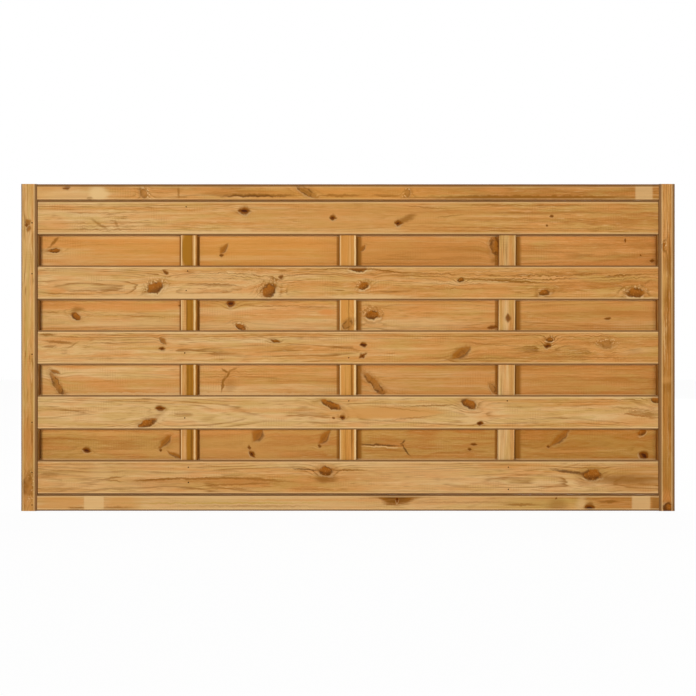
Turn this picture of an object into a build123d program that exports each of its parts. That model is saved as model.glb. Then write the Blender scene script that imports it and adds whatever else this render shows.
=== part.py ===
"""Privacy fence panel of planed softwood.

A frame of grooved stiles and tongued rails carries two layers of level boards, one each side of three
upright battens. The boards of one layer cover the gaps of the other, so that air passes between the layers
and nobody sees through. Millimetres, +Z up, the front looks along -Y. The origin is at the foot of the left
stile's outer face, in the middle of the panel's depth.
"""

from build123d import *
import os

# Frame
panel_length = 1800.0
frame_face = 45.0
frame_proud = 6.5
frame_round = 5.0

# Boards, counted on the front
front_board_count = 5
board_width = 95.0
board_thickness = 8.0
board_round = 3.0
board_lap = 5.625

# Upright battens between the two layers
batten_count = 3
batten_width = 46.0
batten_thickness = 16.0
batten_round = 1.5

# Joints
groove_depth = 20.0
housing_depth = 10.0
side_play = 0.15
end_play = 0.75

# Depth, from the middle outwards: half a batten, a board, and the lip by which the frame stands proud
layer_offset = (batten_thickness + board_thickness) / 2
frame_depth = batten_thickness + 2 * board_thickness + 2 * frame_proud
groove_width = board_thickness + 2 * side_play

# Height, from the boards up
rear_board_count = front_board_count - 1
board_pitch = 2 * (board_width - board_lap)
inner_height = board_width + board_pitch * rear_board_count
panel_height = inner_height + 2 * frame_face
top_board_height = panel_height - frame_face - board_width / 2
batten_length = inner_height + 2 * (housing_depth - end_play)

# Length, from stile to stile
inner_length = panel_length - 2 * frame_face
tongue_length = groove_depth - end_play
board_length = inner_length + 2 * tongue_length
board_start = frame_face - tongue_length
batten_pitch = (inner_length + batten_width) / (batten_count + 1)
first_batten = frame_face - batten_width / 2 + batten_pitch
middle = panel_length / 2


def make_stile():
    """Left stile: rounded long edges, and two grooves for the board ends and the rails' tongues."""
    with BuildPart() as stile:
        with BuildSketch(Plane.XY):
            with Locations((frame_face / 2, 0)):
                RectangleRounded(frame_face, frame_depth, frame_round)
            with Locations((frame_face, -layer_offset), (frame_face, layer_offset)):
                Rectangle(2 * groove_depth, groove_width, mode=Mode.SUBTRACT)
        extrude(amount=panel_height)
    return stile


def mirror_stile(stile):
    """Right stile, the left one's mirror image."""
    with BuildPart() as right:
        mirror(stile.part, about=Plane.YZ.offset(middle))
    return right


def make_rail(height, inner_side):
    """Rail with two tongues at each end, and batten housings in its upper (1) or lower (-1) side."""
    with BuildPart() as rail:
        with BuildSketch(Plane.YZ.offset(frame_face)):
            with Locations((0, height)):
                RectangleRounded(frame_depth, frame_face, frame_round)
        extrude(amount=inner_length)
        with BuildSketch(Plane.YZ.offset(board_start)):
            with Locations((-layer_offset, height), (layer_offset, height)):
                Rectangle(board_thickness, frame_face)
        extrude(amount=board_length)
        with BuildSketch(Plane.XY.offset(height + inner_side * frame_face / 2)):
            with Locations((middle, 0)):
                with GridLocations(batten_pitch, 0, batten_count, 1):
                    Rectangle(batten_width + 2 * side_play, batten_thickness + 2 * side_play)
        extrude(amount=-inner_side * housing_depth, mode=Mode.SUBTRACT)
    return rail


def make_board(height, layer_side):
    """Level board with eased edges in the front (-1) or rear (1) layer, one end in each stile's groove."""
    with BuildPart() as board:
        with BuildSketch(Plane.YZ.offset(board_start)):
            with Locations((layer_side * layer_offset, height)):
                RectangleRounded(board_thickness, board_width, board_round)
        extrude(amount=board_length)
    return board


def make_batten(centre):
    """Upright batten between the layers, its ends housed in the rails."""
    with BuildPart() as batten:
        with BuildSketch(Plane.XY.offset((panel_height - batten_length) / 2)):
            with Locations((centre, 0)):
                RectangleRounded(batten_width, batten_thickness, batten_round)
        extrude(amount=batten_length)
    return batten


def save(piece, name):
    """Labels a finished piece and writes its file."""
    piece.part.label = name
    export_step(piece.part, f"parts/{name}.step")


os.makedirs("parts", exist_ok=True)

left_stile = make_stile()
save(left_stile, "left_stile")
save(mirror_stile(left_stile), "right_stile")
save(make_rail(frame_face / 2, 1), "bottom_rail")
save(make_rail(panel_height - frame_face / 2, -1), "top_rail")

for row in range(front_board_count):
    save(make_board(top_board_height - row * board_pitch, -1), f"front_board_{row + 1}")
for row in range(rear_board_count):
    save(make_board(top_board_height - (row + 0.5) * board_pitch, 1), f"rear_board_{row + 1}")
for column in range(batten_count):
    save(make_batten(first_batten + column * batten_pitch), f"batten_{column + 1}")
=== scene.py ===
"""Dresses the privacy fence panel in planed, honey-coloured pine, and sets up a plain studio round it.

Every timber is shaped from a block at the place that the frame gives it. Places in the lists of nails,
knots, swells, curls, streaks and bands are millimetres on the panel's front: x from its left end, z from its
foot.
"""

import math

import bmesh
import bpy
from bpy.props import FloatProperty, FloatVectorProperty, IntProperty, PointerProperty
from mathutils import Matrix, Vector


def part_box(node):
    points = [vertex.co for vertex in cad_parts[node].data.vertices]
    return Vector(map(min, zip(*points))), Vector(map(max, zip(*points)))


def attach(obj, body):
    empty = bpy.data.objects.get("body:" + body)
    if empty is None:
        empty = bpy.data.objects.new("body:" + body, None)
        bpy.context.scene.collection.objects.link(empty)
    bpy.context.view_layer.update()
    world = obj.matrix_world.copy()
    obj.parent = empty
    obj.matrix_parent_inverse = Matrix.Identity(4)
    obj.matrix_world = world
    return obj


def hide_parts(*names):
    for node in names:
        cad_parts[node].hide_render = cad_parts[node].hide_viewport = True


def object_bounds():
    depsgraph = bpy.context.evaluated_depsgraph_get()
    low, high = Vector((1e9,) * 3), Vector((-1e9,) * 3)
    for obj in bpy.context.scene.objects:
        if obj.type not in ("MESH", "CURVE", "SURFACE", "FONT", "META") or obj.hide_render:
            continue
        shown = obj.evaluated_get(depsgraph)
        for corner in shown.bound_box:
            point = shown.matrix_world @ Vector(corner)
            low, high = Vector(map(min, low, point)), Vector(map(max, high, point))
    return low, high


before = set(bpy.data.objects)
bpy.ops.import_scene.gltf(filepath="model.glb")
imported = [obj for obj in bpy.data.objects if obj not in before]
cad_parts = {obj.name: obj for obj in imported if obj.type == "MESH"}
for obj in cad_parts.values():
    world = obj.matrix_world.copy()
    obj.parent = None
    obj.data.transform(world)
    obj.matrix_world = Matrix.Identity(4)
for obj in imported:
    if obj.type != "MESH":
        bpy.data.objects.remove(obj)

bl_info = {
    "name": "Privacy Fence Panel",
    "version": (1, 0, 0),
    "blender": (4, 5, 0),
    "location": "View3D > Sidebar > Fence",
    "description": "Dresses a privacy fence panel in planed pine",
    "category": "Object",
}

MM = 0.001
X, Y, Z = 0, 1, 2

# What the frame says: the panel's box, and how its pieces lie in it
panel_low, panel_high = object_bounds()
stile_low, stile_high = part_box("left_stile")
board_low, board_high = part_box("front_board_1")
batten_low, batten_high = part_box("batten_1")
panel_centre = (panel_low + panel_high) / 2
front_names = sorted(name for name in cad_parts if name.startswith("front_board"))
rear_names = sorted(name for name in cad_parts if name.startswith("rear_board"))
batten_names = sorted(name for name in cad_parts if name.startswith("batten"))

# Shaping: how nearly a face has to point along an axis to count as facing it, how nearly an edge has to be
# the longest to count as a long one, how long the stray of a planed face is, and the angles below which
# faces and nail heads are smooth
ALIGNED = 0.9
NEARLY = 0.99
STRAY_LENGTH = 110 * MM
SMOOTH_TIMBER = math.radians(35)
SMOOTH_NAIL = math.radians(40)

# Nail heads: their sides, and as shares of their radius the width of the sloping rim, the rise of the dome,
# and how deep the middle of the head is let in
NAIL_SIDES = 16
NAIL_RIM = 0.25
NAIL_DOME = 0.15
NAIL_SINK = 0.66

# Knots: how fast their swell and their push on the grain fade with the square of the distance, how far they
# push for each millimetre of half width, the half width at which a kind's rings are as many as its row
# says, and how far an outline strays from an oval as a share of its size
SWELL_FADE = -0.16
PUSH_FADE = -0.3
KNOT_PUSH = -0.8
USUAL_KNOT = 6.0
LUMPINESS = 1.1

# Half the depth of an oval, so large that it goes right through any timber, in millimetres
THROUGH = 1e5

# How much stronger the latewood shows where the grain is stirred
STIRRED_CONTRAST = 0.3

# Noise that roughens outlines, stirs the wood round a knot and mottles the knot, in patches to the
# millimetre, and how far the first two move the wood along the grain, in depth and across, in millimetres
RAGGED_SCALES = (0.05, 0.06)
RAGGED_REACH = (14.0, 0.0, 9.0)
EDDY_SCALES = (0.07, 0.08)
EDDY_REACH = (22.0, 0.0, 11.0)
BLOB_SCALE = 0.085
SPECKLE_SCALE = 0.2

# Frayed outlines of the streaks: how long, deep and wide a wisp is in millimetres, and how far it reaches
# as a share of the streak
FRAY_SIZE = (60, 6, 6)
FRAY_REACH = 0.7

# The pith: the length over which it wanders, and how far it does in depth and across, in millimetres
PITH_WAVE = 620
PITH_DRIFT = (0.0, 26.0, 16.0)

# Marks of the planer's knives, in millimetres from one to the next. Real ones are about 2 apart, which is
# too fine to show in the picture.
KNIFE_MARKS = 7.0

# Depth of the bump that grain and knife marks give the surface
RELIEF = 0.4 * MM

# What parts the grain of one timber from the next: shares of its place in the panel
SEED_STEPS = (7.3, 41.0, 1.7)

# Studio: each lamp's place and width in metres and the setting with its power, the floor's side in metres
# and the share of its white that doesn't depend on light, and the width of the camera's sensor in
# millimetres
LAMPS = {
    "key_light": ((-1.8, -7.2, 1.6), 1.2, "key_power"),
    "front_light": ((2.9, -5.2, 1.1), 2.4, "front_power"),
    "back_light": ((3.2, 6.4, 1.6), 2.4, "back_power"),
    "top_light": ((0.9, 1.0, 3.2), 1.2, "top_power"),
}
FLOOR_SIZE = 24.0
FLOOR_GLOW = 0.97
SENSOR_WIDTH = 36.0


def linear(hex_code):
    """An sRGB hex colour as linear red, green and blue."""
    channels = [int(hex_code[i:i + 2], 16) / 255 for i in (1, 3, 5)]
    return tuple(c / 12.92 if c <= 0.04045 else ((c + 0.055) / 1.055) ** 2.4 for c in channels)


def tint(name, hex_code, words):
    """A colour that a user can change."""
    return FloatVectorProperty(name=name, description=words, subtype="COLOR", size=3, min=0, max=1,
                               default=linear(hex_code))


def length(name, millimetres, words):
    """A length that a user can change, in metres."""
    return FloatProperty(name=name, description=words, unit="LENGTH", default=millimetres * MM, min=0)


def power(name, watts, words):
    """A lamp's power that a user can change, in watts."""
    return FloatProperty(name=name, description=words, unit="POWER", default=watts, min=0)


class FencePanelSettings(bpy.types.PropertyGroup):
    """Sizes and colours of the dressed panel"""

    frame_round: length("Frame rounding", 5.0, "Radius of the rounded long edges of stiles and rails")
    board_round: length("Board rounding", 3.0, "Radius of the eased edges of the boards")
    batten_round: length("Batten rounding", 1.5, "Radius of the eased edges of the battens")
    side_play: length("Side play", 0.15, "Room each side of a tongue or board end in its groove")
    end_play: length("End play", 0.75, "Room beyond the end of a tongue or board in its groove")
    wander: length("Wander", 0.4, "How far a planed face strays from flat")
    lean: FloatProperty(name="Lean", description="How far the right batten leans", subtype="ANGLE",
                        default=math.radians(0.45))
    nail_radius: length("Nail head radius", 2.1, "Radius of a nail's head")
    slice_length: length("Slice length", 25.0, "Spacing of the cuts along a timber")
    round_steps: IntProperty(name="Rounding steps", default=5, min=1,
                             description="Faces across a rounded edge")

    straw: tint("Straw", "#D4AE77", "Palest sapwood, between the growth rings")
    honey: tint("Honey", "#C78F4D", "Middle tone of the treated pine")
    amber: tint("Amber", "#AC702F", "Deep brown heartwood")
    olive: tint("Olive", "#BC974F", "Greenish cast that the treatment leaves")
    gold: tint("Gold", "#CB8A3A", "Clear orange of boards with little sapwood")
    russet: tint("Russet", "#CC8746", "Reddish cast of resinous wood")
    bronze: tint("Bronze", "#A06A1C", "Treatment that has run and dried dark")
    # Umber also serves as painted shade: on narrow faces, on the rear boards beside the battens and on a
    # batten's edge
    umber: tint("Umber", "#8A5618", "Latewood lines and shaded streaks")
    blond: tint("Blond", "#DAB67E", "Patches that the treatment left pale")
    # Cream also paints the highlight along the arrises, on the battens and on a crack's lip
    cream: tint("Cream", "#E6C48C", "Edges worn pale")
    # Its band in the arrises is partly dirt and partly painted shade
    arris_dirt_and_shade: tint("Grime", "#6E4420", "Dirt in the arrises")
    knot_face: tint("Knot face", "#98560F", "Face of a live knot")
    knot_dead: tint("Dead knot", "#7C4206", "Face of a dead knot")
    heart: tint("Knot heart", "#3C0E00", "Core of a dead knot")
    spike: tint("Spike", "#98580E", "Knot that was sawn lengthways")
    bark: tint("Bark", "#4C280A", "Rim of a knot")
    steel: tint("Nail steel", "#4A3018", "Weathered nail heads")
    studio: tint("Studio", "#F7F7F5", "Floor of the studio")

    camera_distance: length("Camera distance", 2900.0, "From the camera to the panel's front")
    view_width: length("View width", 1914.0, "Width that the camera takes in at the panel's front")
    camera_drop: length("Camera drop", 1.4, "How far the camera is below the panel's middle")
    key_power: power("Key light", 287.0, "Power of the lamp in front to the left")
    front_power: power("Front light", 92.0, "Power of the lamp in front to the right")
    back_power: power("Back light", 230.0, "Power of the lamp behind")
    top_power: power("Top light", 45.0, "Power of the lamp overhead")
    fill: FloatProperty(name="Fill light", default=0.12, min=0,
                        description="Brightness of the plain surroundings")


def settings():
    """The panel's settings in this scene."""
    return bpy.context.scene.fence_panel


def add(tree, kind, *values, out=None, **choices):
    """Adds a shader node with its settings, fills or links its live inputs in order, and gives one output."""
    made = tree.nodes.new("ShaderNode" + kind)
    for choice, value in choices.items():
        setattr(made, choice, value)
    live = [socket for socket in made.inputs if socket.enabled]
    for socket, value in zip(live, values):
        if isinstance(value, bpy.types.NodeSocket):
            tree.links.new(value, socket)
        elif value is not None:
            socket.default_value = (*value, 1.0) if socket.type == "RGBA" and len(value) == 3 else value
    shown = [socket for socket in made.outputs if socket.enabled]
    return made.outputs[out] if out else shown[0]


def new_group(name, takes, gives):
    """An empty shader group with the sockets named, and its ends."""
    tree = bpy.data.node_groups.new(name, "ShaderNodeTree")
    for direction, sockets in (("INPUT", takes), ("OUTPUT", gives)):
        for socket, kind in sockets.items():
            tree.interface.new_socket(socket, in_out=direction, socket_type="NodeSocket" + kind)
    start = tree.nodes.new("NodeGroupInput")
    end = tree.nodes.new("NodeGroupOutput")
    return tree, start.outputs, end.inputs


def oval_group():
    """Where a place lies in an oval along the grain: its distance from the middle, 1 at the outline, the same
    for a pointed spindle, its side, a swell over the oval, and a push that parts the grain round it."""
    takes = {"Place": "Vector", "Centre": "Vector", "Turn": "Vector", "Reach": "Vector"}
    gives = {"Distance": "Float", "Spindle": "Float", "Side": "Float", "Swell": "Float", "Push": "Float"}
    tree, taken, given = new_group("oval", takes, gives)
    local = add(tree, "Mapping", taken["Place"], taken["Centre"], taken["Turn"], taken["Reach"],
                vector_type="TEXTURE")
    distance = add(tree, "VectorMath", local, operation="LENGTH", out="Value")
    square = add(tree, "Math", distance, distance, operation="MULTIPLY")
    parts = add(tree, "SeparateXYZ", local).node.outputs
    tip = add(tree, "Math", parts["X"], parts["X"], operation="MULTIPLY")
    girth = add(tree, "Math", parts["Z"], operation="ABSOLUTE")
    slow = add(tree, "Math", square, SWELL_FADE, operation="MULTIPLY")
    fast = add(tree, "Math", square, PUSH_FADE, operation="MULTIPLY")
    near = add(tree, "Math", fast, operation="EXPONENT")
    tree.links.new(distance, given["Distance"])
    tree.links.new(add(tree, "Math", tip, girth, operation="ADD"), given["Spindle"])
    tree.links.new(parts["Z"], given["Side"])
    tree.links.new(add(tree, "Math", slow, operation="EXPONENT"), given["Swell"])
    tree.links.new(add(tree, "Math", near, parts["Z"], operation="MULTIPLY"), given["Push"])
    return tree


# Noise along the grain: how long, deep and wide its patches are in millimetres, its detail and its
# roughness. Real fibres and resin ducts are a tenth as wide and too fine to show, so fibre, thread and dash
# are drawn coarser.
GRAIN = {
    "broad": ((600, 22, 22), 2.0, 0.5),
    "streak": ((150, 5, 5), 2.0, 0.55),
    "thread": ((230, 1.9, 1.9), 1.0, 0.5),
    "hue": ((110, 17, 17), 2.0, 0.5),
    "waver": ((110, 8, 8), 2.0, 0.5),
    "fading": ((150, 12, 12), 2.0, 0.5),
    "dash": ((36, 2.1, 2.1), 1.0, 0.5),
    "busy": ((95, 26, 26), 2.0, 0.5),
    "fibre": ((9, 0.5, 0.5), 1.0, 0.5),
    "ripple": ((70, 30, 30), 1.0, 0.5),
}


def pine_group():
    """Plain-sawn pine: growth rings round the pith, swelling at knots, in sapwood and heartwood tones."""
    takes = {"Place": "Vector", "Swell": "Float", "Tone": "Float", "Cast": "Float", "Pith": "Vector",
             "Ring": "Float", "Contrast": "Float", "Fleck": "Float", "Seed": "Vector"}
    tree, taken, given = new_group("pine", takes, {"Color": "Color", "Height": "Float"})
    chosen = settings()
    place = add(tree, "VectorMath", taken["Place"], taken["Seed"], operation="ADD")
    noise = {}
    for pattern, (reach, detail, roughness) in GRAIN.items():
        scaled = add(tree, "VectorMath", place, tuple(1 / each for each in reach), operation="MULTIPLY")
        noise[pattern] = add(tree, "TexNoise", scaled, 1.0, detail, roughness)

    # The pith wanders along the trunk, which closes the rings into long arches on the face
    bend = add(tree, "VectorMath", place, (1 / PITH_WAVE, 0.0, 0.0), operation="MULTIPLY")
    back_and_forth = add(tree, "TexNoise", bend, 1.0, 1.0, 0.5)
    up_and_down = add(tree, "TexNoise", bend, 1.4, 1.0, 0.5)
    bent = add(tree, "CombineXYZ", 0.0, back_and_forth, up_and_down)
    drift = add(tree, "VectorMath", bent, PITH_DRIFT, operation="MULTIPLY")
    from_pith = add(tree, "VectorMath", taken["Place"], taken["Pith"], operation="SUBTRACT")
    across = add(tree, "VectorMath", from_pith, (0.0, 1.0, 1.0), operation="MULTIPLY")
    moved = add(tree, "VectorMath", across, drift, operation="ADD")
    radius = add(tree, "VectorMath", moved, operation="LENGTH", out="Value")
    rings = add(tree, "Math", radius, taken["Ring"], operation="DIVIDE")
    waver = add(tree, "Math", noise["waver"], 1.2, rings, operation="MULTIPLY_ADD")
    field = add(tree, "Math", waver, taken["Swell"], operation="ADD")

    # Latewood darkens slowly and stops sharply at each winter, and some years and stretches hardly show
    season = add(tree, "Math", field, operation="FRACT")
    rise = add(tree, "MapRange", season, 0.4, 0.86, 0.0, 1.0, interpolation_type="SMOOTHSTEP")
    stop = add(tree, "MapRange", season, 1.0, 0.84, 0.0, 1.0, interpolation_type="SMOOTHSTEP")
    late = add(tree, "Math", rise, stop, operation="MULTIPLY")
    year = add(tree, "Math", field, operation="FLOOR")
    year_place = add(tree, "CombineXYZ", year, 0.37, 0.0)
    good_year = add(tree, "TexNoise", year_place, 0.63, 0.0, 0.5)
    fading = add(tree, "Math", good_year, noise["fading"], operation="MULTIPLY")
    strength = add(tree, "MapRange", fading, 0.19, 0.36, 0.0, 1.0)
    shown = add(tree, "Math", strength, taken["Contrast"], operation="MULTIPLY")
    latewood = add(tree, "Math", late, shown, operation="MULTIPLY")

    # Tone drifts from sapwood to heartwood in bands, streaks and threads
    tone = taken["Tone"]
    for pattern, share in (("broad", 1.7), ("streak", 0.75), ("thread", 0.5)):
        centred = add(tree, "Math", noise[pattern], 0.5, operation="SUBTRACT")
        tone = add(tree, "Math", centred, share, tone, operation="MULTIPLY_ADD")
    low = add(tree, "MapRange", tone, 0.0, 0.5, 0.0, 1.0)
    high = add(tree, "MapRange", tone, 0.5, 1.0, 0.0, 1.0)
    sapwood = add(tree, "Mix", low, chosen.straw, chosen.honey, data_type="RGBA")
    wood = add(tree, "Mix", high, sapwood, chosen.amber, data_type="RGBA")

    # Over it lie olive and russet patches, latewood, short dashes of resin ducts, and the finest fibres.
    # Each row says what the layer is read from, where it begins and is full, how strong it is there, and
    # its shade.
    hue = add(tree, "Math", noise["hue"], taken["Cast"], operation="ADD")
    busy = add(tree, "MapRange", noise["busy"], 0.38, 0.62, 0.1, 0.6)
    fleck = add(tree, "Math", busy, taken["Fleck"], operation="MULTIPLY")
    glint = add(tree, "Math", fleck, 0.6, operation="MULTIPLY")
    layers = (
        (hue, 0.5, 0.32, 0.5, chosen.olive),
        (hue, 0.5, 0.68, 0.5, chosen.russet),
        (latewood, 0.0, 1.0, 1.0, chosen.umber),
        (noise["dash"], 0.56, 0.7, fleck, chosen.umber),
        (noise["dash"], 0.42, 0.3, glint, chosen.cream),
        (noise["fibre"], 0.5, 0.8, 0.25, chosen.straw),
        (noise["fibre"], 0.45, 0.2, 0.2, chosen.umber),
    )
    for pattern, edge, full, most, shade in layers:
        share = add(tree, "MapRange", pattern, edge, full, 0.0, most)
        wood = add(tree, "Mix", share, wood, shade, data_type="RGBA")

    # The planer's knives leave a faint ripple across the board, deeper in some stretches
    along = add(tree, "SeparateXYZ", place).node.outputs["X"]
    turns = add(tree, "Math", along, 2 * math.pi / KNIFE_MARKS, operation="MULTIPLY")
    wave = add(tree, "Math", turns, operation="SINE")
    depth = add(tree, "MapRange", noise["ripple"], 0.52, 0.68, 0.0, 0.14)
    chatter = add(tree, "Math", wave, depth, operation="MULTIPLY")
    raised = add(tree, "Math", latewood, 0.5, chatter, operation="MULTIPLY_ADD")
    height = add(tree, "Math", noise["fibre"], 0.35, raised, operation="MULTIPLY_ADD")
    rippled = add(tree, "Mix", chatter, wood, chosen.umber, data_type="RGBA")
    tree.links.new(rippled, given["Color"])
    tree.links.new(height, given["Height"])
    return tree


def paint_layers(tree, colour, layers):
    """Lays shades over a colour one after another, each as strong as its shares multiplied."""
    for shade, share, *others in layers:
        for other in others:
            share = add(tree, "Math", share, other, operation="MULTIPLY")
        colour = add(tree, "Mix", share, colour, shade, data_type="RGBA")
    return colour


def knot_group():
    """Paints one live knot over the wood: a face that darkens to one side and is mottled, a broken rim, curly
    wood on its upper side and a pale wedge below."""
    takes = {"Color": "Color", "Blob": "Float", "Speckle": "Float", "Distance": "Float", "Side": "Float",
             "Face": "Color", "Cover": "Float", "Rim": "Float", "Halo": "Float", "Curl": "Float",
             "Wedge": "Float"}
    tree, taken, given = new_group("knot", takes, {"Color": "Color"})
    chosen = settings()
    raw = add(tree, "Math", taken["Blob"], LUMPINESS, taken["Distance"], operation="MULTIPLY_ADD")
    distance = add(tree, "Math", raw, LUMPINESS / 2, operation="SUBTRACT")

    # Masks: what each is read from, where it is 0 and where it is 1
    masks = {
        "shade": (distance, 2.3, 0.9),
        "outside": (distance, 0.95, 1.15),
        "around": (distance, 2.6, 1.3),
        "upper": (taken["Side"], -0.6, 0.7),
        "lower": (taken["Side"], -0.1, -0.9),
        "dark": (taken["Speckle"], 0.53, 0.68),
        "pale": (taken["Speckle"], 0.44, 0.32),
        "close": (distance, 1.75, 1.25),
        "face": (distance, 1.25, 0.8),
        "turned": (taken["Side"], 0.5, -0.9),
        "rim": (distance, 1.3, 1.02),
        "inside": (distance, 0.6, 0.95),
        "broken": (taken["Blob"], 0.42, 0.56),
    }
    mask = {name: add(tree, "MapRange", *row, 0.0, 1.0, interpolation_type="SMOOTHSTEP")
            for name, row in masks.items()}
    face = paint_layers(tree, taken["Face"], [
        (chosen.bark, mask["turned"], 0.7),
        (chosen.amber, mask["pale"], 0.5),
    ])
    colour = paint_layers(tree, taken["Color"], [
        (chosen.umber, mask["shade"], taken["Halo"]),
        (chosen.umber, mask["dark"], mask["around"], mask["outside"], mask["upper"], taken["Curl"]),
        (chosen.cream, mask["pale"], mask["around"], mask["outside"], mask["upper"], taken["Curl"]),
        (chosen.cream, mask["close"], mask["outside"], mask["lower"], taken["Wedge"]),
        (face, mask["face"], taken["Cover"]),
        (chosen.bark, mask["rim"], mask["inside"], mask["broken"], taken["Rim"]),
    ])
    tree.links.new(colour, given["Color"])
    return tree


def spot_group():
    """Paints one small or pointed knot over the wood: a shaded ring, a pale one on its lower side, a face
    with a dark core, and an edge line on its lower side."""
    takes = {"Color": "Color", "Blob": "Float", "Distance": "Float", "Side": "Float", "Face": "Color",
             "Cover": "Float", "Core": "Float", "Halo": "Float", "Wedge": "Float", "Edge": "Float"}
    tree, taken, given = new_group("spot", takes, {"Color": "Color"})
    chosen = settings()
    raw = add(tree, "Math", taken["Blob"], LUMPINESS, taken["Distance"], operation="MULTIPLY_ADD")
    distance = add(tree, "Math", raw, LUMPINESS / 2, operation="SUBTRACT")

    # Masks: what each is read from, where it is 0 and where it is 1
    masks = {
        "shade": (distance, 2.6, 1.2),
        "close": (distance, 2.4, 1.5),
        "lower": (taken["Side"], 0.3, -0.9),
        "face": (distance, 1.8, 0.85),
        "core": (distance, 0.75, 0.15),
        "inside": (distance, 0.5, 1.0),
    }
    mask = {name: add(tree, "MapRange", *row, 0.0, 1.0, interpolation_type="SMOOTHSTEP")
            for name, row in masks.items()}
    face = paint_layers(tree, taken["Face"], [
        (chosen.heart, mask["core"], taken["Core"]),
        (chosen.bark, mask["inside"], mask["lower"], taken["Edge"]),
    ])
    colour = paint_layers(tree, taken["Color"], [
        (chosen.umber, mask["shade"], taken["Halo"]),
        (chosen.cream, mask["close"], mask["lower"], taken["Wedge"]),
        (face, mask["face"], taken["Cover"]),
    ])
    tree.links.new(colour, given["Color"])
    return tree


def group(name):
    """The shader group of this name, made when it is first asked for."""
    makers = {"oval": oval_group, "pine": pine_group, "knot": knot_group, "spot": spot_group}
    if name not in bpy.data.node_groups:
        makers[name]()
    return bpy.data.node_groups[name]


def knot_kinds():
    """Each kind of knot: its group, its face, how strongly that group's parts show, the rings that swell
    round it, and how much it stirs the grain."""
    chosen = settings()
    return {
        # Cover, rim, halo, curl and wedge
        "live": ("knot", chosen.knot_face, (0.92, 0.55, 0.4, 0.5, 0.5), 2.4, 0.8),
        "plain": ("knot", chosen.knot_face, (0.95, 0.6, 0.35, 0.0, 0.25), 2.0, 0.3),
        "eye": ("knot", chosen.amber, (0.25, 0.5, 0.55, 0.15, 0.2), 1.6, 0.4),
        "smear": ("knot", chosen.amber, (0.4, 0.2, 0.4, 0.6, 0.1), 1.6, 0.8),
        "leaf": ("knot", chosen.spike, (0.6, 0.6, 0.4, 0.15, 0.1), 0.9, 0.3),
        # Cover, core, halo, wedge and edge
        "dead": ("spot", chosen.knot_dead, (0.95, 0.95, 0.65, 0.35, 0.2), 1.2, 0.2),
        "pin": ("spot", chosen.knot_dead, (0.85, 0.6, 0.4, 0.15, 0.0), 0.4, 0.0),
        "spike": ("spot", chosen.spike, (0.75, 0.3, 0.35, 0.12, 0.8), 0.7, 0.1),
    }


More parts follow.
